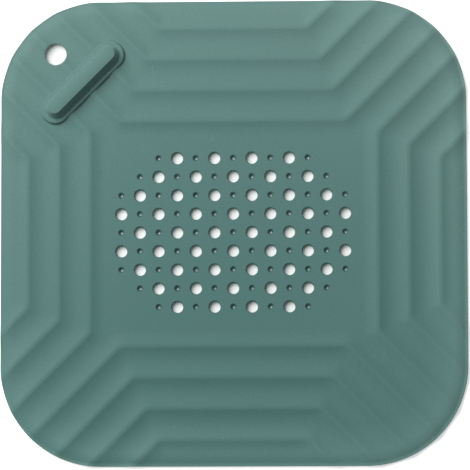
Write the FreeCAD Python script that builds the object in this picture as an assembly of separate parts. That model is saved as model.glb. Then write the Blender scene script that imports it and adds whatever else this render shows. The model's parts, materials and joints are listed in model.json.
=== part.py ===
"""Sink strainer: a square moulded silicone mat that lies over a drain and catches what the water carries.

The top of the mat carries nested ridges with hollow grooves between them, bent at the corners so that they
run out over the rounded rim. A perforated field fills the middle. The back left corner has a hang hole and a
grip bar. The underside is hollow between the rim and the field, and four suction cups in the hollow hold the
mat down.
Millimetres, +Z up, +X to the right, +Y to the back, origin under the middle of the mat on the surface that
the cups stand on.
"""
import FreeCAD
import Part
import math
import os
from FreeCAD import Vector

# Mat
mat_side = 150.0
corner_radius = 32.3
mat_thickness = 1.6
lip_width = 1.0
lip_thickness = 0.5
rim_step = 0.3
rim_width = 3.75
hollow_depth = 0.7
hollow_inset = 3.5

# Ridges
first_ridge = 36.3
ridge_pitch = 10.0
ridge_height = 0.8
ridge_land = 1.2
groove_floor = 0.4
groove_radius = 12.8
bend_radius = 3.5
ridge_root = 0.1
ridge_skirt = 0.5

# Perforated field
hole_pitch = 6.0
large_hole = 4.0
small_hole = 2.0
hole_columns = 6
hole_rows = 4
hole_corner = 8

# Hang hole and grip bar, measured in from the rounded corner along its diagonal and aside from it
hang_hole = 7.0
hang_hole_inset = 11.15
hang_hole_aside = 0.5
bar_inset = 23.8
foot_length = 34.0
foot_width = 9.0
foot_height = 1.4
foot_slope = 0.6
seat_depth = 0.3
seat_clearance = 0.1
bar_length = 30.25
bar_width = 7.2
bar_height = 4.5
bar_slope = 1.55
bar_end_slope = 1.0
bar_crown_radius = 13.5

# Suction cups
cup_inset = 27.6
cup_diameter = 22.0
cup_clearance = 1.0
cup_neck = 12.0
cup_neck_height = 0.25
cup_proud = 0.4
cup_hollow = 0.5
cup_lip = 0.8
cup_edge = 0.35

# Heights and places that follow from the sizes above
underside = cup_proud
cup_height = underside + hollow_depth
floor_top = underside + mat_thickness
land_top = floor_top + ridge_height
rim_inset = lip_width + rim_width
rim_drop = mat_thickness - lip_thickness - rim_step
half_side = mat_side / 2
outer_ridges = int((half_side - rim_inset - first_ridge) // ridge_pitch)
corner_centre = half_side - corner_radius
corner_reach = corner_centre * math.sqrt(2) + corner_radius
diagonal = Vector(-1, 1, 0).normalize()
up = Vector(0, 0, 1)
origin = Vector(0, 0, 0)
overshoot = 1.0


def outline(inset, z):
    """Rounded square of the mat, set in from its edge."""
    half = half_side - inset
    radius = corner_radius - inset
    middle = half - radius
    edges = []
    for turn in range(4):
        spin = FreeCAD.Rotation(up, 90 * turn)
        start = spin.multVec(Vector(half, -middle, 0))
        end = spin.multVec(Vector(half, middle, 0))
        corner = spin.multVec(Vector(middle, middle, 0))
        halfway = corner + spin.multVec(Vector(1, 1, 0)).normalize() * radius
        finish = spin.multVec(Vector(middle, half, 0))
        lift = up * z
        edges.append(Part.LineSegment(start + lift, end + lift).toShape())
        edges.append(Part.Arc(end + lift, halfway + lift, finish + lift).toShape())
    return Part.Wire(edges)


def slab(inset, low, high):
    """Flat plate with the mat's outline between two heights."""
    return Part.Face(outline(inset, low)).extrude(up * (high - low))


def quarter_turns(shape, turns):
    """Copies of a shape turned about the middle of the mat, one for each count of quarter turns."""
    copies = []
    for turn in turns:
        copy = shape.copy()
        copy.rotate(origin, up, 90 * turn)
        copies.append(copy)
    return copies


def rim_section():
    """Cross-section of the right-hand rim: thin lip, then a rounded shoulder up to the mat's top."""
    inner = half_side - rim_inset
    wall = half_side - lip_width
    shoulder_radius = (rim_width ** 2 + rim_drop ** 2) / (2 * rim_drop)
    half_angle = math.asin(rim_width / shoulder_radius) / 2
    lip_top = underside + lip_thickness
    crest = Vector(inner, 0, floor_top)
    brow = Vector(wall, 0, floor_top - rim_drop)
    halfway = crest + Vector(math.sin(half_angle), 0, math.cos(half_angle) - 1) * shoulder_radius
    shoulder = Part.Arc(brow, halfway, crest).toShape()
    rest = Part.makePolygon([
        crest,
        Vector(inner, 0, underside),
        Vector(half_side, 0, underside),
        Vector(half_side, 0, lip_top),
        Vector(wall, 0, lip_top),
        brow,
    ])
    return Part.Face(Part.Wire(rest.Edges + [shoulder]))


def sheet():
    """Plain mat without relief: a flat plate with the rim run round its four sides and corners."""
    section = rim_section()
    side = section.copy()
    side.translate(Vector(0, -corner_centre, 0))
    side = side.extrude(Vector(0, 2 * corner_centre, 0))
    corner = section.copy()
    corner.translate(Vector(0, corner_centre, 0))
    corner = corner.revolve(Vector(corner_centre, corner_centre, 0), up, 90)
    rim = quarter_turns(side, range(4)) + quarter_turns(corner, range(4))
    return slab(rim_inset, underside, floor_top).fuse(rim).removeSplitter()


def ridge_profile(place, along, inner_limit=None):
    """Cross-section of one ridge, square to its run: flat land, hollow flanks and a buried skirt.

    inner_limit cuts the section short on its left-hand side, for a bend tighter than the ridge is wide.
    """
    across = up.cross(along)
    foot = ridge_pitch / 2 - groove_floor / 2
    land = ridge_land / 2

    def point(offset, height):
        return place + across * offset + up * height

    def flank_point(offset):
        chord = Vector(land - foot, ridge_height + ridge_root, 0)
        sag = groove_radius - math.sqrt(groove_radius ** 2 - chord.Length ** 2 / 4)
        middle = Vector((land + foot) / 2, (ridge_height - ridge_root) / 2, 0)
        centre = middle + Vector(chord.y, -chord.x, 0).normalize() * (groove_radius - sag)
        return centre.y - math.sqrt(groove_radius ** 2 - (offset - centre.x) ** 2)

    def flank(outer, sign):
        halfway = (land + outer) / 2
        return Part.Arc(
            point(sign * land, ridge_height),
            point(sign * halfway, flank_point(halfway)),
            point(sign * outer, flank_point(outer)),
        ).toShape()

    left = foot if inner_limit is None else min(foot, inner_limit)
    edges = [
        flank(left, 1),
        Part.makeLine(point(left, flank_point(left)), point(left, -ridge_skirt)),
        Part.makeLine(point(left, -ridge_skirt), point(-foot, -ridge_skirt)),
        Part.makeLine(point(-foot, -ridge_skirt), point(-foot, flank_point(foot))),
        flank(foot, -1),
        Part.makeLine(point(-land, ridge_height), point(land, ridge_height)),
    ]
    return Part.Face(Part.Wire(edges))


def diagonal_end(offset, inset):
    """Point where a diagonal, a distance from the corner's own diagonal, meets an inset outline."""
    shift = offset * math.sqrt(2)
    half = half_side - inset
    radius = corner_radius - inset
    middle = half - radius
    x = half - shift
    if x > middle:
        x = middle - shift / 2 + math.sqrt(2 * radius ** 2 - shift ** 2) / 2
    return Vector(x, x + shift, floor_top)


def ridge(number):
    """One ridge of the back family: straight run, a bend and a diagonal each side, then down the rim."""
    offset = number * ridge_pitch
    bend = Vector(first_ridge - offset * (math.sqrt(2) - 1), first_ridge + offset, floor_top)
    setback = bend_radius * math.tan(math.radians(22.5))
    forward = Vector(1, 0, 0)
    outward = Vector(1, 1, 0).normalize()
    run_start = Vector(0, bend.y, floor_top)
    run_end = bend - forward * setback
    slope_start = bend + outward * setback
    slope_end = diagonal_end(offset, rim_inset)
    edge_end = diagonal_end(offset, lip_width)
    crossing = (edge_end - slope_end).Length
    fall = outward * crossing - up * rim_drop
    stretch = 1 + overshoot / crossing

    axis = run_end + Vector(0, bend_radius, 0)
    half_ridge = [
        ridge_profile(run_start, forward).extrude(run_end - run_start),
        ridge_profile(run_end, forward, bend_radius).revolve(axis, up, 45),
        ridge_profile(slope_start, outward).extrude(slope_end - slope_start),
        ridge_profile(slope_end, outward).extrude(fall * stretch),
    ]
    mirrored = [piece.mirror(origin, forward) for piece in half_ridge]
    return half_ridge[0].fuse(half_ridge[1:] + mirrored)


def ridges():
    """All ridges: the back and front families have one more, which frames the perforated field."""
    shapes = quarter_turns(ridge(0), (0, 2))
    for number in range(1, outer_ridges + 1):
        shapes += quarter_turns(ridge(number), range(4))
    trim = slab(lip_width, underside, land_top + overshoot)
    return [shape.common(trim) for shape in shapes]


def stadium(length, width, place, z):
    """Outline with round ends, its long axis square to the corner's diagonal."""
    radius = width / 2
    along = up.cross(diagonal)
    middle = place + up * z
    reach = along * (length / 2 - radius)
    side = diagonal * radius
    tip = along * radius
    return Part.Wire([
        Part.LineSegment(middle - reach - side, middle + reach - side).toShape(),
        Part.Arc(middle + reach - side, middle + reach + tip, middle + reach + side).toShape(),
        Part.LineSegment(middle + reach + side, middle - reach + side).toShape(),
        Part.Arc(middle - reach + side, middle - reach - tip, middle - reach - side).toShape(),
    ])


def bar_place():
    """Middle of the grip bar in plan, on the diagonal of the corner with the hang hole."""
    return diagonal * (corner_reach - bar_inset)


def hang_place():
    """Middle of the hang hole in plan, a little to the back of the diagonal."""
    return diagonal * (corner_reach - hang_hole_inset) + diagonal.cross(up) * hang_hole_aside


def perforations():
    """Through holes of the field: large and small ones in turn, on a square grid with its corners cut off."""
    holes = []
    for column in range(-hole_columns, hole_columns + 1):
        for row in range(-hole_rows, hole_rows + 1):
            if abs(column) + abs(row) > hole_corner:
                continue
            odd = (column + row) % 2 == 1
            size = large_hole if odd else small_hole
            place = Vector(column * hole_pitch, row * hole_pitch, underside - overshoot)
            holes.append(Part.makeCylinder(size / 2, mat_thickness + 2 * overshoot, place))
    return holes


def bar_seat():
    """Shallow recess that the grip bar's foot sits in, cut down through the ridges that cross it."""
    grow = 2 * (foot_slope + seat_clearance)
    low = floor_top - seat_depth
    edge = stadium(foot_length + grow, foot_width + grow, bar_place(), low)
    return Part.Face(edge).extrude(up * (land_top + overshoot - low))


def cup_places():
    """Centres of the cups on the floor, one near each corner, by the name of where it stands."""
    reach = (corner_reach - cup_inset) / math.sqrt(2)
    sides = (("left", -reach), ("right", reach))
    depths = (("back", reach), ("front", -reach))
    return {depth + "_" + side: Vector(x, y, 0) for depth, y in depths for side, x in sides}


def hollow_space():
    """Space under the mat inside the rim and round the perforated field, which keeps its full thickness.

    Where a cup comes close to the field, the field makes room for it.
    """
    half_width = (hole_columns + 0.5) * hole_pitch
    half_depth = (hole_rows + 0.5) * hole_pitch
    low = underside - overshoot
    corner = Vector(-half_width, -half_depth, low)
    field = Part.makeBox(2 * half_width, 2 * half_depth, cup_height - low, corner)
    room = cup_diameter / 2 + cup_clearance
    rooms = [Part.makeCylinder(room, cup_height - low, place + up * low) for place in cup_places().values()]
    return slab(hollow_inset, low, cup_height).cut(field.cut(rooms))


def strainer_mat():
    """The mat: sheet and ridges in one, less the hollow, the bar's seat and every hole."""
    body = sheet().fuse(ridges()).removeSplitter()
    depth = land_top - underside + 2 * overshoot
    hang = Part.makeCylinder(hang_hole / 2, depth, hang_place() + up * (underside - overshoot))
    return body.cut([hollow_space(), bar_seat(), hang] + perforations())


def grip_bar():
    """Finger grip: a sloping bar with a crowned top, standing on a flange with sloping edges."""
    place = bar_place()
    low = floor_top - seat_depth
    foot_top = floor_top + foot_height
    top = foot_top + bar_height
    spread = 2 * foot_slope
    base = stadium(foot_length + spread, foot_width + spread, place, low)
    plinth = Part.Face(base).extrude(up * seat_depth)
    flange = Part.makeLoft([
        stadium(foot_length + spread, foot_width + spread, place, floor_top),
        stadium(foot_length, foot_width, place, foot_top),
    ], True, True)
    bar = Part.makeLoft([
        stadium(bar_length, bar_width, place, foot_top),
        stadium(bar_length - 2 * bar_end_slope, bar_width - 2 * bar_slope, place, top),
    ], True, True)
    along = up.cross(diagonal)
    axis = place + up * (top - bar_crown_radius) - along * foot_length
    crown = Part.makeCylinder(bar_crown_radius, 2 * foot_length, axis, along)
    return plinth.fuse([flange, bar.common(crown)]).removeSplitter()


def suction_cup(place):
    """Shallow cup, turned: flat neck against the mat, sloping wall and a flat lip on the floor."""
    rim = cup_diameter / 2
    neck = cup_neck / 2
    section = Part.makePolygon([
        Vector(0, 0, cup_hollow),
        Vector(neck, 0, cup_hollow),
        Vector(rim - cup_lip, 0, 0),
        Vector(rim, 0, 0),
        Vector(rim, 0, cup_edge),
        Vector(neck, 0, cup_height - cup_neck_height),
        Vector(neck, 0, cup_height),
        Vector(0, 0, cup_height),
        Vector(0, 0, cup_hollow),
    ])
    cup = Part.Face(section).revolve(origin, up, 360)
    cup.translate(place)
    return cup


def as_solid(shape):
    """The single solid of a shape, so that each file holds exactly one."""
    if len(shape.Solids) != 1:
        raise ValueError("expected one solid, found " + str(len(shape.Solids)))
    return shape.Solids[0]


def main():
    """Builds every piece and writes one file for each."""
    os.makedirs("parts", exist_ok=True)
    pieces = {"strainer_mat": strainer_mat(), "grip_bar": grip_bar()}
    for where, place in cup_places().items():
        pieces["suction_cup_" + where] = suction_cup(place)
    for name, shape in pieces.items():
        solid = as_solid(shape)
        solid.exportStep("parts/" + name + ".step")
        box = solid.optimalBoundingBox()
        print(name, "valid", solid.isValid(), "volume", round(solid.Volume, 1), "faces", len(solid.Faces),
              "z", round(box.ZMin, 3), round(box.ZMax, 3))


main()
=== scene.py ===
"""Sink strainer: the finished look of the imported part, laid out as an add-on and run as a script.

The mat, the grip bar and the suction cups are surfaces worked out from a few sizes, in metres, in the frame
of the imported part. The stage is a white floor, a soft lamp from the back left, a weaker one under the floor
that lights the underside, and a camera that looks down.
"""
import json
import math

import bmesh
import bpy
import numpy as np
from bpy.props import FloatProperty, FloatVectorProperty, IntProperty, PointerProperty
from mathutils import Matrix, Vector


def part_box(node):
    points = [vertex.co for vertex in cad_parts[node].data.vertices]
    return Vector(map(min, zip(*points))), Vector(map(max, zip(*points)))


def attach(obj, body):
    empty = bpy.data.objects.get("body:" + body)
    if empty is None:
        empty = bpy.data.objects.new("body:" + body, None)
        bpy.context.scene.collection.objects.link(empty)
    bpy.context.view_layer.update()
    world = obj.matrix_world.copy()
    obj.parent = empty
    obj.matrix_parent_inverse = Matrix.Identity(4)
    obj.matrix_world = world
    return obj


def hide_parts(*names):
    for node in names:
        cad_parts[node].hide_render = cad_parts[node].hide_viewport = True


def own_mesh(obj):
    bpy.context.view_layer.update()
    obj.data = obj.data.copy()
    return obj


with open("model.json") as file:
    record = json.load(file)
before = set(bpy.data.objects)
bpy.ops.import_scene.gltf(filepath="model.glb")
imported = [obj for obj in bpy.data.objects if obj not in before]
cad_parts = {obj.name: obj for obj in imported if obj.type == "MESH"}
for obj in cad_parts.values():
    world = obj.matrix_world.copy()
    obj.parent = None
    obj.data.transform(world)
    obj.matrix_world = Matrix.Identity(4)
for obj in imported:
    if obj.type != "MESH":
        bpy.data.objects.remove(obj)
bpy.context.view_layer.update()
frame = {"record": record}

bl_info = {
    "name": "Sink strainer",
    "version": (1, 0, 0),
    "blender": (4, 5, 0),
    "location": "View3D > Sidebar > Strainer",
    "description": "Builds a ridged silicone drain mat with its grip bar and suction cups",
    "category": "Add Mesh",
}

mat_low, mat_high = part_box("strainer_mat")
bar_low, bar_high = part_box("grip_bar")
cup_low, cup_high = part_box("suction_cup_back_left")
hang_mount = next(mount for mount in frame["record"]["mounts"] if mount["name"] == "hang_hole")
cup_names = ("back_left", "back_right", "front_left", "front_right")

# Angles of the ridges' bends, and limits for merging points and for sharp edges
DIAGONAL = math.sqrt(2.0)
BEND = math.radians(45)
HALF_BEND = math.tan(BEND / 2)
MERGE = 1e-6
SHARP_ANGLE = math.radians(40)

# Outlines of the bar and the cups
END_POINTS = 25
RUN_POINTS = 21
EDGE_STEPS = 4
CREST_STEPS = 6
CROWN_SHARES = np.array([0.75, 0.5, 0.25, 0.0])
CUP_POINTS = 72
HOLLOW_POINTS = 13
FLARE_POINTS = 9
FLARE_POWER = 1.35
BEVEL_SHARE = 0.3

# Finish of the silicone that all its pieces share
SPECULAR = 0.28
SHEEN_ROUGHNESS = 0.5
NOISE_ROUGHNESS = 0.6
GRAIN_DETAIL = 3.0
CLOUD_DETAIL = 4.0
CLOUD_SCALE = 45.0
CLOUD_TONE = 0.05
CLOUD_ROUGHNESS = 0.06
GRAIN_FLECK = 0.25
GRAIN_BUMP = 0.35
DUST_SPACING = 260.0
SPECK_SIZE = 0.035
# Painted light: a paler colour that grows from a place near the middle towards the mat's edges, standing in
# for brighter light there
PAINTED_LIGHT_LEFT = 0.010
PAINTED_LIGHT_FORWARD = 0.040
PAINTED_LIGHT_REACH = 0.07
# Painted light on the rim: a paler band at the mat's edge, more on the right and at the front, standing in
# for brighter light there
PAINTED_RIM_WIDTH = 0.014
PAINTED_RIM_LEAN = 9.0

# Stage
PAPER_WHITE = (0.96, 0.96, 0.96, 1.0)
WHITE = (1.0, 1.0, 1.0, 1.0)
FLOOR_REACH = 4.0
CLIP_NEAR, CLIP_FAR = 0.01, 20.0


def length_property(name, description, default):
    """A length in metres."""
    return FloatProperty(name=name, description=description, default=default, unit="LENGTH")


def share_property(name, description, default):
    """A share from nought to one."""
    return FloatProperty(
        name=name, description=description, default=default, min=0.0, max=1.0, subtype="FACTOR")


def colour_property(name, description, default):
    """A colour in linear light."""
    return FloatVectorProperty(
        name=name, description=description, default=default, size=3, min=0.0, max=1.0, subtype="COLOR")


def angle_property(name, description, degrees):
    """An angle, with its default in degrees."""
    return FloatProperty(name=name, description=description, default=math.radians(degrees), subtype="ANGLE")


def number_property(name, description, default):
    """A plain number, whole or not as its default is."""
    kind = IntProperty if isinstance(default, int) else FloatProperty
    return kind(name=name, description=description, default=default)


class StrainerMatSizes(bpy.types.PropertyGroup):
    """Sizes of the mat."""

    side: length_property("Side", "Width and depth of the mat", mat_high.x - mat_low.x)
    corner_radius: length_property("Corner radius", "Radius of the mat's corners in plan", 0.0323)
    lip_width: length_property("Lip width", "Width of the flat lip round the edge", 0.0005)
    rim_width: length_property("Rim width", "Width of the rounded shoulder inside the lip", 0.00415)
    rim_fillet: length_property("Rim fillet", "Width of the hollow at the shoulder's foot", 0.0008)
    rim_drop: length_property("Rim drop", "Fall from the flat field to the lip", 0.00084)
    run_out: length_property("Run-out", "Width over which the ridges sink into the rim", 0.0016)
    lip_relief: share_property("Lip relief", "Share of the ridges' height that is left on the lip", 0.8)
    edge_round: length_property("Edge rounding", "Small radius on the lip and the holes", 0.0002)
    hollow_inset: length_property("Hollow inset", "Distance from the edge to the hollow underside", 0.0035)
    first_ridge: length_property("First ridge", "Distance of the first ridge from the middle", 0.0363)
    ridge_pitch: length_property("Ridge pitch", "Distance from one ridge to the next", 0.010)
    ridge_height: length_property("Ridge height", "Height of a ridge over the flat field", 0.0008)
    ridge_land: length_property("Ridge land", "Width of the flat top of a ridge", 0.0012)
    land_round: length_property("Land rounding", "Height over which a ridge's edge is rounded", 0.00015)
    bend_radius: length_property("Bend radius", "Radius of a ridge's bend in plan", 0.0035)
    last_ridge: number_property("Last ridge", "Number of the outermost ridge, counted from nought", 3)
    hole_pitch: length_property("Hole pitch", "Spacing of the perforations", 0.006)
    large_hole: length_property("Large hole", "Diameter of the larger perforations", 0.004)
    small_hole: length_property("Small hole", "Diameter of the smaller perforations", 0.002)
    large_draft: length_property("Large draft", "How much narrower a large hole is below, each side", 0.00025)
    small_draft: length_property("Small draft", "How much narrower a small hole is below, each side", 0.0006)
    hole_columns: number_property("Hole columns", "Perforations to the left and right of the middle one", 6)
    hole_rows: number_property("Hole rows", "Perforations in front of and behind the middle one", 4)
    hole_corner: number_property("Hole corner", "Most steps from the middle, which cuts the corners off", 8)


class StrainerBarSizes(bpy.types.PropertyGroup):
    """Sizes of the grip bar."""

    foot_length: length_property("Foot length", "Length of the flange's top", 0.0337)
    foot_width: length_property("Foot width", "Width of the flange's top", 0.009)
    foot_height: length_property("Foot height", "Height of the flange over the flat field", 0.0014)
    foot_slope: length_property("Foot slope", "Width of the flange's sloping edge", 0.0006)
    bar_length: length_property("Bar length", "Length of the bar at its foot", 0.03065)
    bar_width: length_property("Bar width", "Width of the bar at its foot", 0.0072)
    bar_slope: length_property("Bar slope", "Lean of the bar's sides from foot to top", 0.00148)
    end_slope: length_property("End slope", "Lean of the bar's round ends from foot to top", 0.001)
    crown_radius: length_property("Crown radius", "Radius of the crowned top", 0.0135)
    aside: length_property("Aside", "Shift of the bar along itself, to the right", 0.0002)
    edge_round: length_property("Edge rounding", "Radius on the flange's edge and in the bar's root", 0.00015)
    crest_round: length_property("Crest rounding", "Radius between the bar's sides and its top", 0.00022)


class StrainerCupSizes(bpy.types.PropertyGroup):
    """Sizes of a suction cup."""

    neck: length_property("Neck", "Diameter of the neck against the mat", 0.012)
    neck_height: length_property("Neck height", "Height of the neck", 0.00025)
    hollow: length_property("Hollow", "Depth of the cup", 0.0005)
    lip: length_property("Lip", "Width of the flat lip", 0.0008)
    edge: length_property("Edge", "Thickness of the lip's edge", 0.00035)


class StrainerFinish(bpy.types.PropertyGroup):
    """Colours and finish of the silicone."""

    colour: colour_property("Colour", "Colour of the moulded silicone", (0.065, 0.166, 0.1515))
    speck_colour: colour_property("Speck colour", "Colour of the fine dust", (0.33, 0.43, 0.40))
    roughness: share_property("Roughness", "Roughness of the moulded surface", 0.62)
    # The next two settings paint light: a paler colour towards the mat's edges stands in for brighter light
    # there
    painted_light_colour: colour_property("Painted light colour", "Colour of the painted light", (0.80, 1.0, 0.92))
    painted_light: share_property("Painted light", "Share of painted light, at its reach from the bare place", 0.025)
    # The next two settings paint light on the rim: a paler band at the edge stands in for brighter light
    # there
    rim_light_colour: colour_property("Rim light colour", "Colour of the painted light on the mat's rim", (0.58, 1.0, 0.93))
    painted_rim_light: share_property("Painted rim light", "Share of painted light on the mat's rim", 0.035)
    sheen: share_property("Sheen", "Paleness of the powdery surface at a glance along it", 0.22)
    sheen_tint: colour_property("Sheen tint", "Colour of the powdery surface", (0.62, 0.80, 0.76))


class StrainerStage(bpy.types.PropertyGroup):
    """Camera, lamps and floor."""

    tilt: angle_property("Tilt", "Angle of the camera off the vertical", 5.356)
    heading: angle_property("Heading", "Side that the camera leans to, from the right", -66.45)
    roll: angle_property("Roll", "Turn of the camera about its own axis", -0.157)
    distance: length_property("Distance", "Distance of the camera from the flat field", 1.087)
    lens: number_property("Lens", "Focal length of the camera in millimetres", 259.3)
    aim: FloatVectorProperty(
        name="Aim", description="Point of the flat field in the middle of the picture",
        default=(0.000525, -0.000897), size=2, unit="LENGTH")
    lamp_place: FloatVectorProperty(
        name="Lamp place", description="Place of the soft lamp", default=(-0.340, 0.296, 0.661), size=3,
        unit="LENGTH")
    lamp_size: length_property("Lamp size", "Width of the soft lamp", 0.66)
    lamp_power: number_property("Lamp power", "Power of the soft lamp in watts", 7.25)
    under_power: number_property("Under power", "Power of the lamp under the floor in watts", 2.5)
    fill: number_property("Fill", "Strength of the even light from all round", 0.13)
    floor_lift: number_property("Floor lift", "Glow that brings the floor round the mat to white", 0.5)


def grid_patch(points, wrap=False, keep=None):
    """Points of a grid, row by row, with the faces between them, or only those that keep marks.

    The last column is joined to the first if it wraps.
    """
    number = np.arange(points[..., 0].size).reshape(points.shape[:2])
    if wrap:
        number = np.concatenate([number, number[:, :1]], axis=1)
    faces = np.stack([number[:-1, :-1], number[:-1, 1:], number[1:, 1:], number[1:, :-1]], axis=-1)
    faces = faces.reshape(-1, 4) if keep is None else faces[keep]
    return points.reshape(-1, 3), faces


def ruled_patch(near, far):
    """Straight faces between two paths with as many points each."""
    return grid_patch(np.stack([near, far]))


def flat(points, height):
    """Plan points raised to a height."""
    heights = np.broadcast_to(height, points.shape[:-1])
    return np.concatenate([points, heights[..., None]], axis=-1)


def make_piece(name, patches, material, node, body):
    """One closed mesh from patches, in place of a node and riding on a body.

    Shared edges are merged, faces turned outwards, and edges past an angle kept sharp.
    """
    starts = np.cumsum([0] + [len(points) for points, _ in patches[:-1]])
    points = np.concatenate([points for points, _ in patches])
    faces = np.concatenate([faces + start for (_, faces), start in zip(patches, starts)])
    mesh = bpy.data.meshes.new(name)
    mesh.from_pydata(points.tolist(), [], faces.tolist())
    shell = bmesh.new()
    shell.from_mesh(mesh)
    bmesh.ops.remove_doubles(shell, verts=shell.verts, dist=MERGE)
    bmesh.ops.dissolve_degenerate(shell, edges=shell.edges, dist=MERGE)
    bmesh.ops.recalc_face_normals(shell, faces=shell.faces)
    open_edges = sum(1 for edge in shell.edges if not edge.is_manifold)
    if open_edges:
        raise RuntimeError(name + " has " + str(open_edges) + " open edges")
    shell.to_mesh(mesh)
    shell.free()
    mesh.shade_smooth()
    mesh.set_sharp_from_angle(angle=SHARP_ANGLE)
    mesh.materials.append(material)
    piece = bpy.data.objects.new(name, mesh)
    bpy.context.scene.collection.objects.link(piece)
    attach(piece, body)
    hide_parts(node)
    return piece


def rounded_drop(distance, radius):
    """Fall of a quarter-round edge at a distance in from it.

    It is the radius less the root of the radius squared less the run squared, and the run is the rest of the
    radius.
    """
    run = np.clip(radius - distance, 0.0, radius)
    return radius - np.sqrt(radius ** 2 - run ** 2)


def inset_of(plan, sizes):
    """Distance of plan points in from the edge of the rounded square.

    That is the corner radius less the distance from the square that the corner arcs' centres make.
    """
    past = np.abs(plan) - (sizes.side / 2 - sizes.corner_radius)
    outside = np.linalg.norm(np.maximum(past, 0.0), axis=-1)
    inside = np.minimum(past.max(axis=-1), 0.0)
    return sizes.corner_radius - (outside + inside)


def ridge_relief(offset, first, sizes):
    """Height over the flat field at an offset out from the line of ridge nought.

    Each ridge has a flat land, and the groove between two lands is an arc that meets the level of the flat
    field halfway: its radius less the root of the radius squared less the run squared. The lower of the arc
    and the land counts, less a parabola where they are close, which rounds the land's edges.
    """
    number = np.clip(np.round(offset / sizes.ridge_pitch), first, sizes.last_ridge)
    away = np.abs(offset - number * sizes.ridge_pitch)
    reach = (sizes.ridge_pitch - sizes.ridge_land) / 2
    radius = (reach ** 2 + sizes.ridge_height ** 2) / (2 * sizes.ridge_height)
    run = np.maximum(sizes.ridge_pitch / 2 - away, 0.0)
    arc = radius - np.sqrt(radius ** 2 - run ** 2)
    near = np.maximum(sizes.land_round - np.abs(arc - sizes.ridge_height), 0.0)
    return np.minimum(arc, sizes.ridge_height) - near ** 2 / (4 * sizes.land_round)


def top_height(relief, inset, floor, sizes):
    """Height of the mat's top: flat field plus relief, less the fall of the rim.

    The fall is a round shoulder that runs into a hollow fillet and ends level at the lip. The two arcs meet
    at the rim's steepest angle, twice that of its chord. The relief sinks in over the run-out, and the lip's
    edge is round.
    """
    steepest = 2 * math.atan2(sizes.rim_drop, sizes.rim_width)
    shoulder = (sizes.rim_width - sizes.rim_fillet) / math.sin(steepest)
    fillet = sizes.rim_fillet / math.sin(steepest)
    up_rim = np.clip(inset - sizes.lip_width, 0.0, sizes.rim_width)
    down_rim = np.clip(sizes.rim_width - up_rim, 0.0, sizes.rim_width - sizes.rim_fillet)
    rise = fillet - np.sqrt(fillet ** 2 - np.clip(up_rim, 0.0, sizes.rim_fillet) ** 2)
    hollow = up_rim < sizes.rim_fillet
    fall = np.where(hollow, sizes.rim_drop - rise, shoulder - np.sqrt(shoulder ** 2 - down_rim ** 2))
    share = np.clip(up_rim / sizes.run_out, 0.0, 1.0)
    left = sizes.lip_relief + (1 - sizes.lip_relief) * share ** 2 * (3 - 2 * share)
    return floor + relief * left - fall - rounded_drop(inset, sizes.edge_round)


def bend_place(offset, sizes):
    """Distance of a ridge's bend from the middle of its side.

    It is that of ridge nought, less the offset times the root of two less one.
    """
    return sizes.first_ridge - offset * (DIAGONAL - 1)


def diagonal_reach(offset, inset, sizes):
    """Distance along a ridge's diagonal from its bend to the outline at an inset.

    The diagonal meets the straight side, or, nearer the corner, the arc about the corner's centre.
    """
    half, radius = sizes.side / 2 - inset, sizes.corner_radius - inset
    middle = sizes.side / 2 - sizes.corner_radius
    shift = offset * DIAGONAL
    on_arc = middle - shift / 2 + np.sqrt(np.maximum(2 * radius ** 2 - shift ** 2, 0.0)) / 2
    across = np.where(half - shift > middle, on_arc, half - shift)
    return (across - bend_place(offset, sizes)) * DIAGONAL


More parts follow.
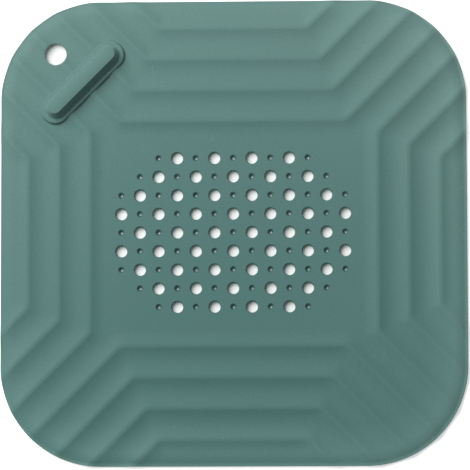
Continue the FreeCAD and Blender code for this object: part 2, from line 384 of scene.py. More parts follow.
class StrainerMatBuilder:
    """Works out the patches of the mat from its sizes.

    A family is half of the ridge lines along one side, as rows of points, with those of the rim and the lip.
    The back and the right family make a quarter, which is mirrored into the other three.
    """

    CELL_STEPS = 6
    BEND_STEPS = 5
    LEAD_STEPS = 5
    RIM_STEPS = 7
    BEND_SHARE = 0.85
    FAR_SHARES = np.linspace(0.0, 0.62, 6)[1:]
    NEAR_SHARES = np.linspace(0.62, 0.95, 10)[1:]
    LAND_SHARES = np.array([0.0, 0.35, 0.7, 1.0])
    GROOVE_SHARES = np.array([0.05, 0.1, 0.16, 0.26, 0.40, 0.56, 0.72, 0.87, 1.0])
    FILLET_SHARES = np.array([0.8, 0.6, 0.4, 0.2, 0.0])
    EDGE_SHARES = np.array([1.0, 0.45, 0.13, 0.0])
    HANG_SHARES = np.array([0.0, 0.03, 0.13, 0.4, 0.7, 1.0])
    HANG_COLUMNS = (5, 14)
    LEAST_ROW = 1e-5
    ROW_DIGITS = 9
    QUARTERS = ((1, 1), (-1, 1), (-1, -1), (1, -1))
    HANG_QUARTER = (-1, 1)

    def __init__(self, sizes):
        """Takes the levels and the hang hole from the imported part, and the rest from the sizes."""
        self.sizes = sizes
        self.underside = mat_low.z
        self.roof = cup_high.z
        self.floor = mat_high.z - sizes.ridge_height
        self.rim_inset = sizes.lip_width + sizes.rim_width
        self.half_pitch = sizes.ridge_pitch / 2
        self.hang = np.array(hang_mount["pos_m"][:2])
        self.hang_radius = hang_mount["dims"]["r_mm"] / 1000
        self.shares = np.concatenate([self.FAR_SHARES, self.NEAR_SHARES, [1.0]])
        counts = (sizes.hole_columns, sizes.hole_rows)
        self.field = tuple((count + 0.5) * sizes.hole_pitch for count in counts)
        self.straight = tuple((2 * count + 1) * self.CELL_STEPS // 2 for count in counts)
        past_lead = self.straight[0] + self.BEND_STEPS + self.LEAD_STEPS
        self.hang_low, self.hang_high = (past_lead + column for column in self.HANG_COLUMNS)

    def ridge_rows(self, first):
        """Offsets of the rows over the ridges: close at the edges of a land, wide apart in a groove."""
        sizes = self.sizes
        half_land = sizes.ridge_land / 2
        groove = self.half_pitch - half_land
        steps = np.concatenate([half_land * self.LAND_SHARES, half_land + groove * self.GROOVE_SHARES])
        lines = sizes.ridge_pitch * np.arange(first, sizes.last_ridge + 1)
        both_sides = np.concatenate([(lines[:, None] + steps).ravel(), (lines[:, None] - steps).ravel()])
        rows = np.unique(np.round(both_sides, self.ROW_DIGITS))
        return rows[rows < sizes.side / 2 - sizes.first_ridge - self.rim_inset - self.LEAST_ROW]

    def family(self, rows, insets, step, straight, lead):
        """Offsets and plan points of a family: the rows given, the start of the rim and a row per inset.

        A row runs straight from the middle of its side, turns through an arc of 45 degrees and goes out along
        the diagonal: an even lead, then shares of the way to the rim, then the insets. No arc takes up more
        than a share of the way to the inset called step.
        """
        sizes = self.sizes
        edges = sizes.side / 2 - sizes.first_ridge - np.concatenate([[self.rim_inset], insets])
        rows = np.concatenate([rows, edges])
        offset = rows[:, None]
        bend = bend_place(offset, sizes)
        out = sizes.first_ridge + offset
        room = np.maximum(diagonal_reach(offset, step, sizes), 0.0)
        setback = np.minimum(sizes.bend_radius * HALF_BEND, self.BEND_SHARE * room)
        radius = setback / HALF_BEND
        rim = diagonal_reach(offset, self.rim_inset, sizes)

        along = np.linspace(0.0, 1.0, straight + 1) * (bend - setback)
        turn = np.linspace(0.0, BEND, self.BEND_STEPS + 1)[1:]
        lead_end = setback + np.minimum(lead, np.maximum(rim - setback, 0.0))
        lead_way = setback + np.linspace(0.0, 1.0, self.LEAD_STEPS + 1)[1:] * (lead_end - setback)
        share_way = lead_end + self.shares * (rim - lead_end)
        inset_way = diagonal_reach(offset, insets, sizes)
        way = np.maximum(np.concatenate([lead_way, share_way, inset_way], axis=1), setback) / DIAGONAL
        x = np.concatenate([along, bend - setback + radius * np.sin(turn), bend + way], axis=1)
        y = np.concatenate([out + 0 * along, out + radius * (1 - np.cos(turn)), out + way], axis=1)
        return rows, np.dstack([x, y])

    def top_family(self, first, straight, lead):
        """Offsets and points of a family on the top, with its ridges' relief and the fall of the rim."""
        sizes = self.sizes
        rim = np.linspace(sizes.rim_width, sizes.rim_fillet, self.RIM_STEPS + 1)[1:]
        up_rim = np.concatenate([rim, sizes.rim_fillet * self.FILLET_SHARES])
        edge = sizes.edge_round * self.EDGE_SHARES
        insets = np.concatenate([sizes.lip_width + up_rim, [sizes.lip_width / 2], edge])
        rows, plan = self.family(self.ridge_rows(first), insets, sizes.lip_width, straight, lead)
        return rows, flat(plan, self.top_level(plan, rows[:, None], first))

    def top_level(self, plan, offset, first):
        """Height of the top at plan points, with their offset from the line of ridge nought."""
        relief = ridge_relief(offset, first, self.sizes)
        return top_height(relief, inset_of(plan, self.sizes), self.floor, self.sizes)

    def low_family(self, first, straight, lead):
        """Offsets and points of a family below: the hollow's roof, its step and the rim's flat foot."""
        rows = self.ridge_rows(first)
        past_line = rows % self.half_pitch
        on_line = np.minimum(past_line, self.half_pitch - past_line) <= MERGE
        rows = rows[(rows <= self.half_pitch + MERGE) | on_line]
        hollow = self.sizes.hollow_inset
        rows, plan = self.family(rows, np.array([hollow, hollow, 0.0]), hollow, straight, lead)
        foot = np.zeros(plan.shape[:2], bool)
        foot[-2:] = True
        foot[:, -2:] = True
        return rows, flat(plan, np.where(foot, self.underside, self.roof))

    def cells(self):
        """Centres and radii of the field's square cells, with no radius where the corner is cut off."""
        sizes = self.sizes
        column, row = np.meshgrid(
            np.arange(-sizes.hole_columns, sizes.hole_columns + 1),
            np.arange(-sizes.hole_rows, sizes.hole_rows + 1), indexing="ij")
        radius = np.where((column + row) % 2 == 1, sizes.large_hole, sizes.small_hole) / 2
        radius = np.where(np.abs(column) + np.abs(row) > sizes.hole_corner, 0.0, radius)
        centre = np.stack([column.ravel(), row.ravel()], axis=-1) * sizes.hole_pitch
        return centre, radius.ravel()

    def field_patches(self):
        """Cells of the field, above and below, and the walls of their holes.

        A cell goes from its hole to its square in straight lines: the square's points are evenly spaced, and
        the hole's lie at even angles. A hole narrows downwards by its draft.
        """
        sizes = self.sizes
        centre, radius = self.cells()
        step = np.arange(4 * self.CELL_STEPS)
        turn = step * 2 * math.pi / step.size
        ring = np.stack([np.cos(turn), np.sin(turn)], axis=-1)
        half_side = self.CELL_STEPS // 2
        slope = ((step + half_side) % self.CELL_STEPS - half_side) / half_side
        quarter = (step + half_side) // self.CELL_STEPS * (math.pi / 2)
        across, along = np.cos(quarter), np.sin(quarter)
        square = np.stack([across - slope * along, along + slope * across], axis=-1)
        square = centre[:, None, :] + square * sizes.hole_pitch / 2
        pierced = radius > 0

        def circle(grow):
            """Outlines of the holes, each grown by a length."""
            return centre[:, None, :] + ring * (radius + np.where(pierced, grow, 0.0))[:, None, None]

        edge = sizes.edge_round / 2
        draft = np.where(radius < sizes.large_hole / 2, sizes.small_draft, sizes.large_draft)
        mouth = flat(circle(0.0), np.where(pierced, self.floor - edge, self.floor)[:, None])
        throat = flat(circle(-draft), self.underside)
        top = np.stack([mouth, flat(circle(edge), self.floor), flat(square, self.floor)], axis=1)
        bottom = np.stack([throat, flat(square, self.underside)], axis=1)
        wall = np.stack([throat, mouth], axis=1)[pierced]
        return [grid_patch(cell, wrap=True) for cells in (top, bottom, wall) for cell in cells]

    def frame_patches(self, back, right, height):
        """Flat faces of a quarter between the perforated field and the innermost rows of two families.

        Under the mat the field keeps its full thickness, so there its sides go down to the underside.
        """
        width, depth = self.field
        across, along = self.straight
        corner = np.array([width, depth])
        back_bend, right_bend = across + self.BEND_STEPS, along + self.BEND_STEPS
        back_arc, right_arc = back[across:back_bend + 1], right[along:right_bend + 1]
        back_lead = back[back_bend:back_bend + self.LEAD_STEPS + 1]
        back_side = np.stack([np.linspace(0.0, width, across + 1), np.full(across + 1, depth)], axis=-1)
        right_side = np.stack([np.full(along + 1, width), np.linspace(0.0, depth, along + 1)], axis=-1)
        pairs = (
            (back_side, back[:across + 1]),
            (np.broadcast_to(corner, back_arc.shape), back_arc),
            (right[:along + 1], right_side),
            (np.stack([corner, corner]), np.stack([back_lead[0], right_arc[0]])),
            (right_arc, back_lead),
        )
        patches = [ruled_patch(flat(near, height), flat(far, height)) for near, far in pairs]
        if height < self.floor:
            for side in (back_side, right_side):
                patches.append(ruled_patch(flat(side, height), flat(side, self.underside)))
        return patches

    def hang_row(self, rows):
        """Number of the first row past the hang hole, halfway to the next ridge."""
        return int(np.searchsorted(rows, self.half_pitch - MERGE))

    def quarter(self, families, pierced):
        """Patches of one quarter before it is mirrored, left open round the hang hole where it is pierced."""
        patches = []
        for side, surfaces in enumerate(families):
            edges = []
            for rows, points in surfaces:
                points = points[..., [1, 0, 2]] if side else points
                keep = np.ones((points.shape[0] - 1, points.shape[1] - 1), bool)
                if pierced and side == 0:
                    keep[:self.hang_row(rows), self.hang_low:self.hang_high] = False
                patches.append(grid_patch(points, keep=keep))
                edges.append((rows, points[-1, :self.straight[side] + 1], points[:, -1]))
            (top_rows, top_run, top_ends), (low_rows, low_run, low_ends) = edges
            match = np.clip(np.searchsorted(low_rows, top_rows + MERGE) - 1, 0, len(low_rows) - 1)
            patches.append(ruled_patch(
                np.concatenate([top_run, top_ends[::-1]]), np.concatenate([low_run, low_ends[match][::-1]])))
        for (_, back), (_, right), height in zip(*families, (self.floor, self.roof)):
            patches += self.frame_patches(back[0, :, :2], right[0, :, 1::-1], height)
        return patches

    def hang_patches(self, back):
        """Faces from the hang hole to the block of rows and columns round it, above and below, and its wall.

        They go straight out from the hole's middle, and the edge of the hole is rounded above.
        """
        rings = []
        for (rows, points), shares in zip(back, (self.HANG_SHARES, np.array([0.0, 1.0]))):
            block = points[:self.hang_row(rows) + 1, self.hang_low:self.hang_high + 1, :2] * self.HANG_QUARTER
            loop = np.concatenate([block[0, :-1], block[:-1, -1], block[-1, :0:-1], block[:0:-1, 0]])
            outward = loop - self.hang
            circle = self.hang + outward / np.linalg.norm(outward, axis=1)[:, None] * self.hang_radius
            rings.append(circle + shares[:, None, None] * (loop - circle))
        top, low = rings
        gap = np.linalg.norm(top - top[0], axis=-1)
        height = self.top_level(top, top.sum(axis=-1) / DIAGONAL, 0)
        top = flat(top, height - rounded_drop(gap, self.sizes.edge_round))
        low = flat(low, self.roof)
        wall = np.stack([top[0], low[0]])
        return [grid_patch(ring, wrap=True) for ring in (top, low, wall)]

    def patches(self):
        """All patches of the mat: the field, four mirrored quarters and the faces round the hang hole."""
        lead = self.sizes.ridge_pitch * (DIAGONAL - 1)
        back = (0, self.straight[0], lead)
        right = (1, self.straight[1], 0.0)
        families = [(self.top_family(*side), self.low_family(*side)) for side in (back, right)]
        patches = self.field_patches()
        for place in self.QUARTERS:
            quarter = self.quarter(families, place == self.HANG_QUARTER)
            patches += [(points * (*place, 1), faces) for points, faces in quarter]
        return patches + self.hang_patches(families[0])


def feed(tree, node, values):
    """Links a node's inputs to sockets, or gives them plain numbers or colours."""
    for socket, value in values.items():
        if isinstance(value, bpy.types.NodeSocket):
            tree.links.new(value, node.inputs[socket])
        else:
            node.inputs[socket].default_value = value


def new_node(tree, kind, values):
    """A new node of a kind, fed with values."""
    node = tree.nodes.new(kind)
    feed(tree, node, values)
    return node


def math_node(tree, operation, first, second=0.0):
    """One step of arithmetic, on sockets or plain numbers."""
    node = new_node(tree, "ShaderNodeMath", {0: first, 1: second})
    node.operation = operation
    return node.outputs[0]


def mix_node(tree, share, under, over, blend="MIX"):
    """A share of one colour laid over another, each a socket or a plain value."""
    node = tree.nodes.new("ShaderNodeMix")
    node.data_type = "RGBA"
    node.blend_type = blend
    feed(tree, node, {"Factor": share, "A": under, "B": over})
    return node.outputs["Result"]


def range_node(tree, share, low, high):
    """A number that goes from low to high as a share goes from nought to one."""
    node = new_node(tree, "ShaderNodeMapRange", {"Value": share, "To Min": low, "To Max": high})
    return node.outputs["Result"]


def plan_of(tree, place):
    """How far a place lies to the right and to the back."""
    split = new_node(tree, "ShaderNodeSeparateXYZ", {0: place})
    return split.outputs["X"], split.outputs["Y"]


def square_distance(tree, place, middle):
    """Distance in plan from a square about the origin, whose sides lie at a distance called middle from it.

    It is the root of the squares of how far a place lies past the square's sides.
    """
    squares = []
    for part in plan_of(tree, place):
        past = math_node(tree, "SUBTRACT", math_node(tree, "ABSOLUTE", part), middle)
        past = math_node(tree, "MAXIMUM", past, 0.0)
        squares.append(math_node(tree, "MULTIPLY", past, past))
    return math_node(tree, "SQRT", math_node(tree, "ADD", *squares))


def new_group(name, inputs, outputs):
    """An empty shader node group with a place and named numbers in, and named numbers out."""
    group = bpy.data.node_groups.new(name, "ShaderNodeTree")
    group.interface.new_socket("Place", in_out="INPUT", socket_type="NodeSocketVector")
    for socket in inputs:
        group.interface.new_socket(socket, in_out="INPUT", socket_type="NodeSocketFloat")
    for socket in outputs:
        group.interface.new_socket(socket, in_out="OUTPUT", socket_type="NodeSocketFloat")
    source = group.nodes.new("NodeGroupInput")
    sink = group.nodes.new("NodeGroupOutput")
    return group, source.outputs, sink.inputs


def noise(group, place, scale, detail):
    """Noise over the place on the piece, about a half."""
    node = new_node(group, "ShaderNodeTexNoise", {
        "Vector": place, "Scale": scale, "Detail": detail, "Roughness": NOISE_ROUGHNESS})
    return node.outputs["Fac"]


def moulded_grain():
    """Group: fine grain that the mould leaves, and slow clouds of a slightly other tone."""
    group, given, out = new_group("Moulded grain", ("Grain scale", "Cloud scale"), ("Grain", "Clouds"))
    group.links.new(noise(group, given["Place"], given["Grain scale"], GRAIN_DETAIL), out["Grain"])
    group.links.new(noise(group, given["Place"], given["Cloud scale"], CLOUD_DETAIL), out["Clouds"])
    return group


def fine_dust():
    """Group: sparse specks, where a cell's middle is near and the cell's own number is under the share."""
    group, given, out = new_group("Fine dust", ("Spacing scale", "Speck size", "Share"), ("Specks",))
    cell = new_node(group, "ShaderNodeTexVoronoi", {
        "Vector": given["Place"], "Scale": given["Spacing scale"]}).outputs
    chance = new_node(group, "ShaderNodeSeparateColor", {"Color": cell["Color"]}).outputs
    near = math_node(group, "LESS_THAN", cell["Distance"], given["Speck size"])
    picked = math_node(group, "LESS_THAN", chance["Red"], given["Share"])
    faint = math_node(group, "MULTIPLY", picked, chance["Green"])
    group.links.new(math_node(group, "MULTIPLY", near, faint), out["Specks"])
    return group


def painted_light_field():
    """Group: painted light, a share that grows with the square of the distance from a bare place near the
    middle and stands in for brighter light towards the mat's edges.
    """
    group, given, out = new_group("Painted light field", ("Left", "Forward", "Reach", "Strength"), ("Painted light",))
    squares = []
    for part, shift in zip(plan_of(group, given["Place"]), ("Left", "Forward")):
        away = math_node(group, "ADD", part, given[shift])
        away = math_node(group, "DIVIDE", away, given["Reach"])
        squares.append(math_node(group, "MULTIPLY", away, away))
    square = math_node(group, "ADD", *squares)
    group.links.new(math_node(group, "MULTIPLY", square, given["Strength"]), out["Painted light"])
    return group


def painted_rim_light():
    """Group: about its strength at the edge of a rounded square, falling to nought at a width in from it.

    The distance from the square that the corner arcs' centres make is the corner radius at the edge. Lean
    adds more towards the right and the front, and takes as much away on the left and at the back. The pale
    colour that it lays on is painted light, standing in for brighter light on the rim.
    """
    group, given, out = new_group("Painted rim light", ("Middle", "Radius", "Width", "Lean", "Strength"), ("Rim light",))
    away = square_distance(group, given["Place"], given["Middle"])
    inset = math_node(group, "SUBTRACT", given["Radius"], away)
    share = math_node(group, "DIVIDE", inset, given["Width"])
    rim_light = math_node(group, "MAXIMUM", math_node(group, "SUBTRACT", 1.0, share), 0.0)
    lean = math_node(group, "SUBTRACT", *plan_of(group, given["Place"]))
    lean = math_node(group, "ADD", math_node(group, "MULTIPLY", lean, given["Lean"]), 1.0)
    rim_light = math_node(group, "MULTIPLY", rim_light, math_node(group, "MAXIMUM", lean, 0.0))
    group.links.new(math_node(group, "MULTIPLY", rim_light, given["Strength"]), out["Rim light"])
    return group


def place_group(tree, name, build, values):
    """Outputs of a group in a material, fed with the place on the piece and its own values.

    The group itself is built once, by the function given, and shared.
    """
    node = tree.nodes.new("ShaderNodeGroup")
    node.node_tree = bpy.data.node_groups.get(name) or build()
    place = tree.nodes.new("ShaderNodeTexCoord").outputs["Object"]
    feed(tree, node, {"Place": place, **values})
    return node.outputs


def opaque(colour):
    """A colour with nothing showing through."""
    return (*colour, 1.0)


def silicone(name, scene, grain_scale, grain_depth, dust):
    """Matte moulded silicone: cloudy tone, painted light as a paler colour towards the edges and on the rim,
    fine grain as bump, and a little dust.
    """
    finish, mat = scene.strainer_finish, scene.strainer_mat
    material = bpy.data.materials.new(name)
    material.use_nodes = True
    tree = material.node_tree
    grain = place_group(tree, "Moulded grain", moulded_grain, {
        "Grain scale": grain_scale, "Cloud scale": CLOUD_SCALE})
    specks = place_group(tree, "Fine dust", fine_dust, {
        "Spacing scale": DUST_SPACING, "Speck size": SPECK_SIZE, "Share": dust})
    # Painted light: a paler colour that grows towards the mat's edges, standing in for brighter light there
    painted_light = place_group(tree, "Painted light field", painted_light_field, {
        "Left": PAINTED_LIGHT_LEFT, "Forward": PAINTED_LIGHT_FORWARD, "Reach": PAINTED_LIGHT_REACH, "Strength": finish.painted_light})
    # Painted light on the rim: a paler band at the edge, more on the right and at the front
    rim_light = place_group(tree, "Painted rim light", painted_rim_light, {
        "Middle": mat.side / 2 - mat.corner_radius, "Radius": mat.corner_radius, "Width": PAINTED_RIM_WIDTH,
        "Lean": PAINTED_RIM_LEAN, "Strength": finish.painted_rim_light})

    base = np.array(finish.colour)
    tone = mix_node(tree, grain["Clouds"], opaque(base * (1 - CLOUD_TONE)), opaque(base * (1 + CLOUD_TONE)))
    # This mix paints light: the pale colour towards the edges stands in for brighter light there
    light_painted = mix_node(tree, painted_light["Painted light"], tone, opaque(finish.painted_light_colour))
    # This mix paints light: the paler rim stands in for brighter light on the edge
    rim_lit = mix_node(tree, rim_light["Rim light"], light_painted, opaque(finish.rim_light_colour))
    flecked = mix_node(tree, GRAIN_FLECK, rim_lit, grain["Grain"], "OVERLAY")
    dusty = mix_node(tree, specks["Specks"], flecked, opaque(finish.speck_colour))
    smooth, coarse = finish.roughness - CLOUD_ROUGHNESS, finish.roughness + CLOUD_ROUGHNESS
    bump = new_node(tree, "ShaderNodeBump", {
        "Strength": GRAIN_BUMP, "Distance": grain_depth, "Height": grain["Grain"]})
    feed(tree, tree.nodes["Principled BSDF"], {
        "Base Color": dusty,
        "Roughness": range_node(tree, grain["Clouds"], smooth, coarse),
        "Normal": bump.outputs["Normal"],
        "Specular IOR Level": SPECULAR,
        "Sheen Weight": finish.sheen,
        "Sheen Roughness": SHEEN_ROUGHNESS,
        "Sheen Tint": opaque(finish.sheen_tint),
    })
    return material


def arc_between(start, end, level_first, steps):
    """Points of a quarter turn from one half width and height to another, which starts level or upright.

    Their shares of the way are the sine, and one less the cosine, of an even turn.
    """
    turn = np.linspace(0.0, math.pi / 2, steps + 1)
    early, late = np.sin(turn), 1 - np.cos(turn)
    run, rise = (early, late) if level_first else (late, early)
    return start[0] + (end[0] - start[0]) * run, start[1] + (end[1] - start[1]) * rise


def bar_profile(sizes, floor):
    """Half widths and heights of the grip bar's outlines, from the middle of its underside up to its crown.

    Quarter turns go round the flange's edge, the bar's root and its crest, and straight slopes join them. The
    crown is an arc: it lies over its middle by the root of the radius squared less the half width squared.
    """
    foot_top, top = floor + sizes.foot_height, bar_high.z
    small, crest_small = sizes.edge_round, sizes.crest_round
    half_foot, half_bar = sizes.foot_width / 2, sizes.bar_width / 2
    base = half_foot + sizes.foot_slope
    crest = half_bar - sizes.bar_slope
    foot_lean = sizes.foot_slope / sizes.foot_height
    lean = sizes.bar_slope / (top - foot_top)
    crown_middle = top - sizes.crown_radius
    crest_top = crown_middle + math.sqrt(sizes.crown_radius ** 2 - crest ** 2)

    flange = arc_between(
        (half_foot + small * foot_lean, foot_top - small), (half_foot - small, foot_top), False, EDGE_STEPS)
    root = arc_between(
        (half_bar + small, foot_top), (half_bar - small * lean, foot_top + small), True, EDGE_STEPS)
    edge = arc_between(
        (crest + crest_small * lean, crest_top - crest_small), (crest - crest_small, crest_top), False,
        CREST_STEPS)
    crown_width = (crest - crest_small) * CROWN_SHARES
    crown = (crown_width, crown_middle + np.sqrt(sizes.crown_radius ** 2 - crown_width ** 2))
    foot = ([0.0, base, base], [bar_low.z, bar_low.z, floor])
    return np.concatenate([foot, flange, root, edge, crown], axis=1)


def bar_lengths(widths, sizes):
    """Half length of each outline of the bar: its half width and the rest, which changes with the slopes."""
    half_foot, half_bar = sizes.foot_width / 2, sizes.bar_width / 2
    foot_rest = sizes.foot_length / 2 - half_foot
    bar_rest = sizes.bar_length / 2 - half_bar
    crest_rest = bar_rest + sizes.bar_slope - sizes.end_slope
    rest = np.interp(
        widths, (half_bar - sizes.bar_slope, half_bar, half_foot), (crest_rest, bar_rest, foot_rest))
    rest[0] = foot_rest
    return widths + rest


def stadium_rings(lengths, widths, heights, along, across, middle):
    """Closed outlines with round ends, one for each half length, half width and height.

    A point lies on a circle of the half width, shifted along the bar by the rest of the half length.
    """
    end = np.linspace(-math.pi / 2, math.pi / 2, END_POINTS)
    run = np.linspace(1.0, -1.0, RUN_POINTS)[1:-1]
    side = np.full(run.size, math.pi / 2)
    turn = np.concatenate([end, side, end + math.pi, -side])
    shift = np.concatenate([np.ones(end.size), run, -np.ones(end.size), -run])
    length, width = lengths[:, None], widths[:, None]
    forward = shift * (length - width) + width * np.cos(turn)
    sideways = width * np.sin(turn)
    plan = middle + forward[..., None] * along + sideways[..., None] * across
    return flat(plan, heights[:, None])


def cup_profile(sizes, rim, height):
    """Radii and heights of a suction cup's outline, from the middle of its hollow round its lip to its neck.

    The hollow is a parabola over the radius, and the flare a power of the share of the way from lip to neck.
    """
    neck, inner = sizes.neck / 2, rim - sizes.lip
    bevel = BEVEL_SHARE * sizes.edge
    hollow = np.linspace(0.0, inner, HOLLOW_POINTS)
    hollow_height = sizes.hollow * (1 - (hollow / inner) ** 2)
    share = np.linspace(0.0, 1.0, FLARE_POINTS)
    flare = rim + (neck - rim) * share
    flare_height = sizes.edge + (height - sizes.neck_height - sizes.edge) * share ** FLARE_POWER
    radii = np.concatenate([hollow, [rim - bevel, rim], flare, [neck, 0.0]])
    heights = np.concatenate([hollow_height, [0.0, bevel], flare_height, [height, height]])
    return radii, heights


class STRAINER_OT_mat(bpy.types.Operator):
    """Builds the ridged and perforated mat"""

    bl_idname = "strainer.mat"
    bl_label = "Mat"

    def execute(self, context):
        scene = context.scene
        material = silicone("Mat silicone", scene, grain_scale=2600.0, grain_depth=0.00002, dust=0.3)
        patches = StrainerMatBuilder(scene.strainer_mat).patches()
        make_piece("mat_skin", patches, material, "strainer_mat", "mat")
        return {"FINISHED"}


class STRAINER_OT_grip_bar(bpy.types.Operator):
    """Builds the grip bar on its flange"""

    bl_idname = "strainer.grip_bar"
    bl_label = "Grip bar"

    def execute(self, context):
        scene = context.scene
        sizes = scene.strainer_bar
        material = silicone("Bar silicone", scene, grain_scale=2600.0, grain_depth=0.00002, dust=0.2)
        widths, heights = bar_profile(sizes, mat_high.z - scene.strainer_mat.ridge_height)
        along = np.array([1.0, 1.0]) / DIAGONAL
        across = np.array([-1.0, 1.0]) / DIAGONAL
        middle = np.array((bar_low + bar_high) / 2)[:2] + sizes.aside * along
        rings = stadium_rings(bar_lengths(widths, sizes), widths, heights, along, across, middle)
        make_piece("grip_bar_skin", [grid_patch(rings, wrap=True)], material, "grip_bar", "mat")
        return {"FINISHED"}


class STRAINER_OT_suction_cups(bpy.types.Operator):
    """Builds the four suction cups under the mat"""

    bl_idname = "strainer.suction_cups"
    bl_label = "Suction cups"

    def execute(self, context):
        scene = context.scene
        material = silicone("Cup silicone", scene, grain_scale=3200.0, grain_depth=0.00001, dust=0.1)
        height = cup_high.z - cup_low.z
        radii, heights = cup_profile(scene.strainer_cup, (cup_high.x - cup_low.x) / 2, height)
        turn = np.linspace(0.0, 2 * math.pi, CUP_POINTS + 1)[:-1]
        circles = radii[:, None, None] * np.stack([np.cos(turn), np.sin(turn)], axis=-1)
        for name in cup_names:
            low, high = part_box("suction_cup_" + name)
            middle = (low + high) / 2
            rings = flat(np.array(middle)[:2] + circles, low.z + heights[:, None])
            piece = make_piece("suction_cup_" + name + "_skin", [grid_patch(rings, wrap=True)], material,
                               "suction_cup_" + name, "cup_" + name)
            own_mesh(piece)
        return {"FINISHED"}


def seen_directly(tree):
    """One for rays from the camera, from a gloss or through glass, and nought for the rest."""
    rays = tree.nodes.new("ShaderNodeLightPath").outputs
    seen = math_node(tree, "MAXIMUM", rays["Is Camera Ray"], rays["Is Glossy Ray"])
    return math_node(tree, "MAXIMUM", seen, rays["Is Transmission Ray"])


def beside_mat(tree, sizes):
    """One on the floor outside the mat's lip, nought under the mat.

    The mat's edge lies a corner radius away from the square that the corner arcs' centres make.
    """
    place = tree.nodes.new("ShaderNodeTexCoord").outputs["Object"]
    away = square_distance(tree, place, sizes.side / 2 - sizes.corner_radius)
    return math_node(tree, "GREATER_THAN", away, sizes.corner_radius - sizes.lip_width)


def white_floor(lift, sizes):
    """White paper: matt, and lifted to white in the camera's eyes round the mat.

    From below it is clear, to the camera and to the lamp that lights the underside.
    """
    material = bpy.data.materials.new("White paper")
    material.use_nodes = True
    tree = material.node_tree
    paper = tree.nodes["Principled BSDF"]
    lit = math_node(tree, "MULTIPLY", seen_directly(tree), beside_mat(tree, sizes))
    feed(tree, paper, {
        "Base Color": PAPER_WHITE,
        "Roughness": 1.0,
        "Specular IOR Level": 0.0,
        "Emission Color": WHITE,
        "Emission Strength": math_node(tree, "MULTIPLY", lit, lift),
    })
    behind = tree.nodes.new("ShaderNodeNewGeometry").outputs["Backfacing"]
    shadow = tree.nodes.new("ShaderNodeLightPath").outputs["Is Shadow Ray"]
    clear = tree.nodes.new("ShaderNodeBsdfTransparent")
    mix = new_node(tree, "ShaderNodeMixShader", {
        0: math_node(tree, "MAXIMUM", behind, shadow), 1: paper.outputs[0], 2: clear.outputs[0]})
    feed(tree, tree.nodes["Material Output"], {"Surface": mix.outputs[0]})
    return material


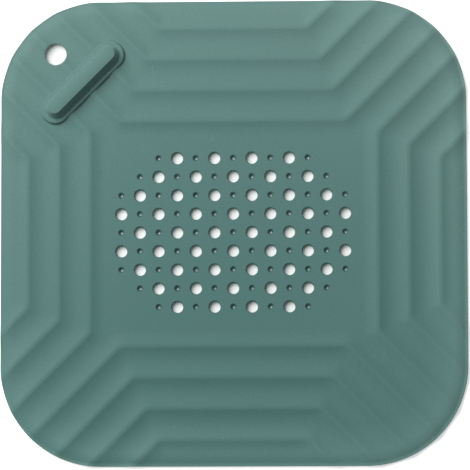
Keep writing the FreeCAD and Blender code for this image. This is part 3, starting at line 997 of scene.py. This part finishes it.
class STRAINER_OT_stage(bpy.types.Operator):
    """Sets up the floor, the light and the camera"""

    bl_idname = "strainer.stage"
    bl_label = "Stage"

    def execute(self, context):
        scene = context.scene
        stage = scene.strainer_stage
        scene.view_settings.view_transform = "Standard"
        self.lay_floor(scene, stage)
        self.light(scene, stage)
        self.set_camera(scene, stage)
        return {"FINISHED"}

    @staticmethod
    def lay_floor(scene, stage):
        """A wide floor at the height that the cups stand on."""
        corners = [(FLOOR_REACH * x, FLOOR_REACH * y, 0.0) for x, y in ((-1, -1), (1, -1), (1, 1), (-1, 1))]
        mesh = bpy.data.meshes.new("floor")
        mesh.from_pydata(corners, [], [(0, 1, 2, 3)])
        mesh.materials.append(white_floor(stage.floor_lift, scene.strainer_mat))
        floor = bpy.data.objects.new("floor", mesh)
        scene.collection.objects.link(floor)

    @staticmethod
    def light(scene, stage):
        """A soft lamp aimed at the mat, one under the floor, and an even fill that is seen as white."""
        place = Vector(stage.lamp_place)
        below = Vector((0.0, 0.0, -place.length))
        lamps = (("Soft lamp", place, stage.lamp_power), ("Under lamp", below, stage.under_power))
        for name, spot, power in lamps:
            lamp = bpy.data.lights.new(name, "AREA")
            lamp.shape = "DISK"
            lamp.size = stage.lamp_size
            lamp.energy = power
            holder = bpy.data.objects.new(name, lamp)
            holder.location = spot
            holder.rotation_euler = spot.to_track_quat("Z", "Y").to_euler()
            holder.visible_camera = False
            scene.collection.objects.link(holder)
        world = bpy.data.worlds.new("Studio")
        world.use_nodes = True
        tree = world.node_tree
        strength = range_node(tree, seen_directly(tree), stage.fill, 1.0)
        feed(tree, tree.nodes["Background"], {"Color": WHITE, "Strength": strength})
        scene.world = world

    @staticmethod
    def set_camera(scene, stage):
        """Looks down at the flat field from the given tilt, heading and roll."""
        aside = math.sin(stage.tilt)
        back = Vector((
            aside * math.cos(stage.heading), aside * math.sin(stage.heading), math.cos(stage.tilt)))
        level = (-back).cross(Vector((0.0, 1.0, 0.0))).normalized()
        upright = level.cross(-back)
        right = level * math.cos(stage.roll) + upright * math.sin(stage.roll)
        up = upright * math.cos(stage.roll) - level * math.sin(stage.roll)
        floor = mat_high.z - scene.strainer_mat.ridge_height
        place = Vector((*stage.aim, floor)) + back * stage.distance
        camera = bpy.data.cameras.new("Camera")
        camera.lens = stage.lens
        camera.clip_start, camera.clip_end = CLIP_NEAR, CLIP_FAR
        holder = bpy.data.objects.new("Camera", camera)
        holder.matrix_world = Matrix.Translation(place) @ Matrix((right, up, back)).transposed().to_4x4()
        scene.collection.objects.link(holder)
        scene.camera = holder


class STRAINER_PT_panel(bpy.types.Panel):
    """Lists the pieces of the strainer and its stage"""

    bl_idname = "STRAINER_PT_panel"
    bl_label = "Sink strainer"
    bl_space_type = "VIEW_3D"
    bl_region_type = "UI"
    bl_category = "Strainer"

    def draw(self, context):
        for operator in operators:
            self.layout.operator(operator.bl_idname)


settings = {
    "strainer_mat": StrainerMatSizes,
    "strainer_bar": StrainerBarSizes,
    "strainer_cup": StrainerCupSizes,
    "strainer_finish": StrainerFinish,
    "strainer_stage": StrainerStage,
}
operators = (STRAINER_OT_mat, STRAINER_OT_grip_bar, STRAINER_OT_suction_cups, STRAINER_OT_stage)


def register():
    """Registers the settings, the operators and the panel."""
    for name, group in settings.items():
        bpy.utils.register_class(group)
        setattr(bpy.types.Scene, name, PointerProperty(type=group))
    for cls in (*operators, STRAINER_PT_panel):
        bpy.utils.register_class(cls)


def unregister():
    """Takes everything out again."""
    for cls in (STRAINER_PT_panel, *reversed(operators)):
        bpy.utils.unregister_class(cls)
    for name, group in settings.items():
        delattr(bpy.types.Scene, name)
        bpy.utils.unregister_class(group)


def main():
    """Builds the strainer and its stage in order."""
    register()
    bpy.ops.strainer.mat()
    bpy.ops.strainer.grip_bar()
    bpy.ops.strainer.suction_cups()
    bpy.ops.strainer.stage()


if __name__ == "__main__":
    main()
